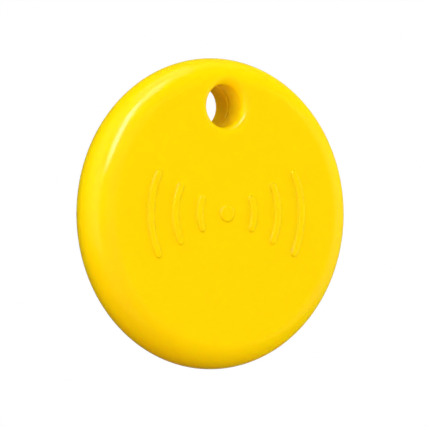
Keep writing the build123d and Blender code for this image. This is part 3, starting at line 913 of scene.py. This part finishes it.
looks = {make.__name__: make().material for make in (
    shell_plastic, seal_rubber, board_laminate, gold_plate, dome_steel, clear_film, contact_steel,
    cell_steel, grommet_plastic, lithium_foil, separator_felt, cathode_mix, sounder_brass,
    sounder_ceramic, silver_electrode, foam_tape, chip_epoxy, solder_tin, crystal_can,
    capacitor_body, resistor_body, ferrite,
)}

# ---------------------------------------------------------------- the CAD nodes' own finish


def finish_node(piece, width):
    """Gives a CAD node its look, and breaks its sharp edges by a width in millimetres."""
    slot = piece.material_slots[0]
    slot.material = looks[slot.name]
    weld = piece.modifiers.new("weld", "WELD")
    weld.merge_threshold = 1e-4 * MM
    bevel = piece.modifiers.new("edges", "BEVEL")
    bevel.width = width * MM
    bevel.segments = 2
    bevel.limit_method = "ANGLE"
    bevel.angle_limit = math.radians(40)
    bevel.use_clamp_overlap = True
    weigh_normals(piece)


thin_nodes = {
    "antenna_trace", "test_pads", "switch_pads", "snap_dome", "dome_film", "sounder_tape",
    "sounder_electrode", "sounder_ceramic", "sounder_brass", "negative_contact", "rim_seal",
    "keyhole_seal",
}
edge_width, thin_edge_width = 0.03, 0.01
for name, piece in frame["nodes"].items():
    if name not in ("front_shell", "rear_shell"):
        finish_node(piece, thin_edge_width if name in thin_nodes else edge_width)

add_shell(front_shell(), "front", "front_shell")
add_shell(rear_shell(), "rear", "rear_shell")

# ---------------------------------------------------------------- studio

studio_distance = 0.5  # from the tag to the camera and to each light, in metres


def towards(azimuth, elevation):
    """A direction in degrees: azimuth 0 is out of the front, 90 is +X."""
    a, e = math.radians(azimuth), math.radians(elevation)
    return Vector((math.sin(a) * math.cos(e), -math.cos(a) * math.cos(e), math.sin(e)))


def facing_tag(name, data, direction):
    """A camera or light in a direction from the tag, turned to face it."""
    made = linked(name, data)
    made.location = direction * studio_distance
    made.rotation_euler = direction.to_track_quat("Z", "Y").to_euler()
    return made


def softbox(name, azimuth, elevation, spans, radiance, glossy, colour):
    """A soft light; spans are the degrees it fills across and up, as seen from the tag."""
    light = bpy.data.lights.new(name, "AREA")
    light.color = colour
    light.shape = "RECTANGLE"
    light.size, light.size_y = (
        2 * studio_distance * math.tan(math.radians(span) / 2) for span in spans
    )
    light.energy = 4 * radiance * light.size * light.size_y  # the watts that give the radiance
    made = facing_tag(name, light, towards(azimuth, elevation))
    made.visible_camera = False
    made.visible_glossy = glossy


def studio_world():
    """White to the camera and dim to the surfaces, but for a wall that the tag's rims catch."""
    wall_edge, wall_middle = 0.85, 0.93  # cosines off the way straight behind the tag
    wall_dim, wall_bright = 0.02, 0.2
    other_rays = 0.03
    world = bpy.data.worlds.new("studio")
    world.use_nodes = True
    tree = world.node_tree
    tree.nodes.clear()
    node = partial(add_node, tree)
    ray = node("LightPath")
    way = node("TexCoord")["Generated"]
    behind = node("VectorMath", {0: way, 1: tuple(-camera_way)}, operation="DOT_PRODUCT")["Value"]
    glow = node(
        "MapRange", {0: behind, 1: wall_edge, 2: wall_middle, 3: wall_dim, 4: wall_bright}
    )[0]
    seen = node("Mix", {0: ray["Is Glossy Ray"], 2: other_rays, 3: glow})[0]
    strength = node("Mix", {0: ray["Is Camera Ray"], 2: seen, 3: 1.0})[0]
    shade = node("Background", {0: (1, 1, 1, 1), 1: strength})[0]
    node("OutputWorld", {0: shade})
    bpy.context.scene.world = world


def add_floor():
    """A plain white floor under the hanging tag, seen by the camera only, from above or below."""
    radius, height = 0.5, -0.06
    bpy.ops.mesh.primitive_circle_add(
        vertices=128, radius=radius, fill_type="NGON", location=(0, 0, height)
    )
    floor = bpy.context.object
    floor.name = "floor"
    floor.visible_diffuse = False
    floor.visible_glossy = False
    floor.visible_shadow = False
    look = Look("floor", (0.3, 0.26, 0.26), 0.8)
    look.shader["Emission Color"].default_value = (1, 1, 1, 1)
    look.shader["Emission Strength"].default_value = 0.8
    floor.data.materials.append(look.material)


def add_camera():
    """The camera, level with the tag and to its left, the tag just off the picture's centre."""
    view_width = 52.04  # across the picture at the tag
    camera = bpy.data.cameras.new("camera")
    camera.lens = camera.sensor_width * studio_distance / (view_width * MM)
    camera.shift_x, camera.shift_y = 0.0027, 0.0006
    bpy.context.scene.camera = facing_tag("camera", camera, camera_way)


camera_way = towards(-33.8, 0)
add_camera()
studio_world()
add_floor()
daylight, bounced = (0.87, 1.0, 1.0), (1.0, 0.72, 0.3)
for light in (
    # name, azimuth, elevation, degrees across and up, radiance, seen in reflections, colour
    ("key", -36, 45, (12, 38), 4.8, True, daylight),
    ("key_edge", -44, 40, (14, 38), 2.5, True, daylight),
    ("key_top", -10, 66, (14, 20), 2.0, True, daylight),
    ("overhead", 0, 85, (35, 35), 0.6, True, daylight),
    ("front", 0, 5, (50, 50), 0.6, False, daylight),
    ("left", -66, 5, (28, 50), 2.2, False, daylight),
    ("far_left", -95, 15, (40, 60), 0.7, False, daylight),
    ("right", 65, 0, (40, 40), 4.2, False, daylight),
    ("far_right", 95, 0, (40, 40), 3.0, False, daylight),
    ("back_left", -100, 50, (40, 40), 1.6, False, daylight),
    ("back_right", 120, 55, (50, 50), 2.4, False, daylight),
    ("back", 155, 10, (50, 50), 1.8, False, daylight),
    ("bounce", -40, -35, (50, 50), 1.9, False, bounced),
):
    softbox(*light)
bpy.context.scene.view_settings.view_transform = "Standard"
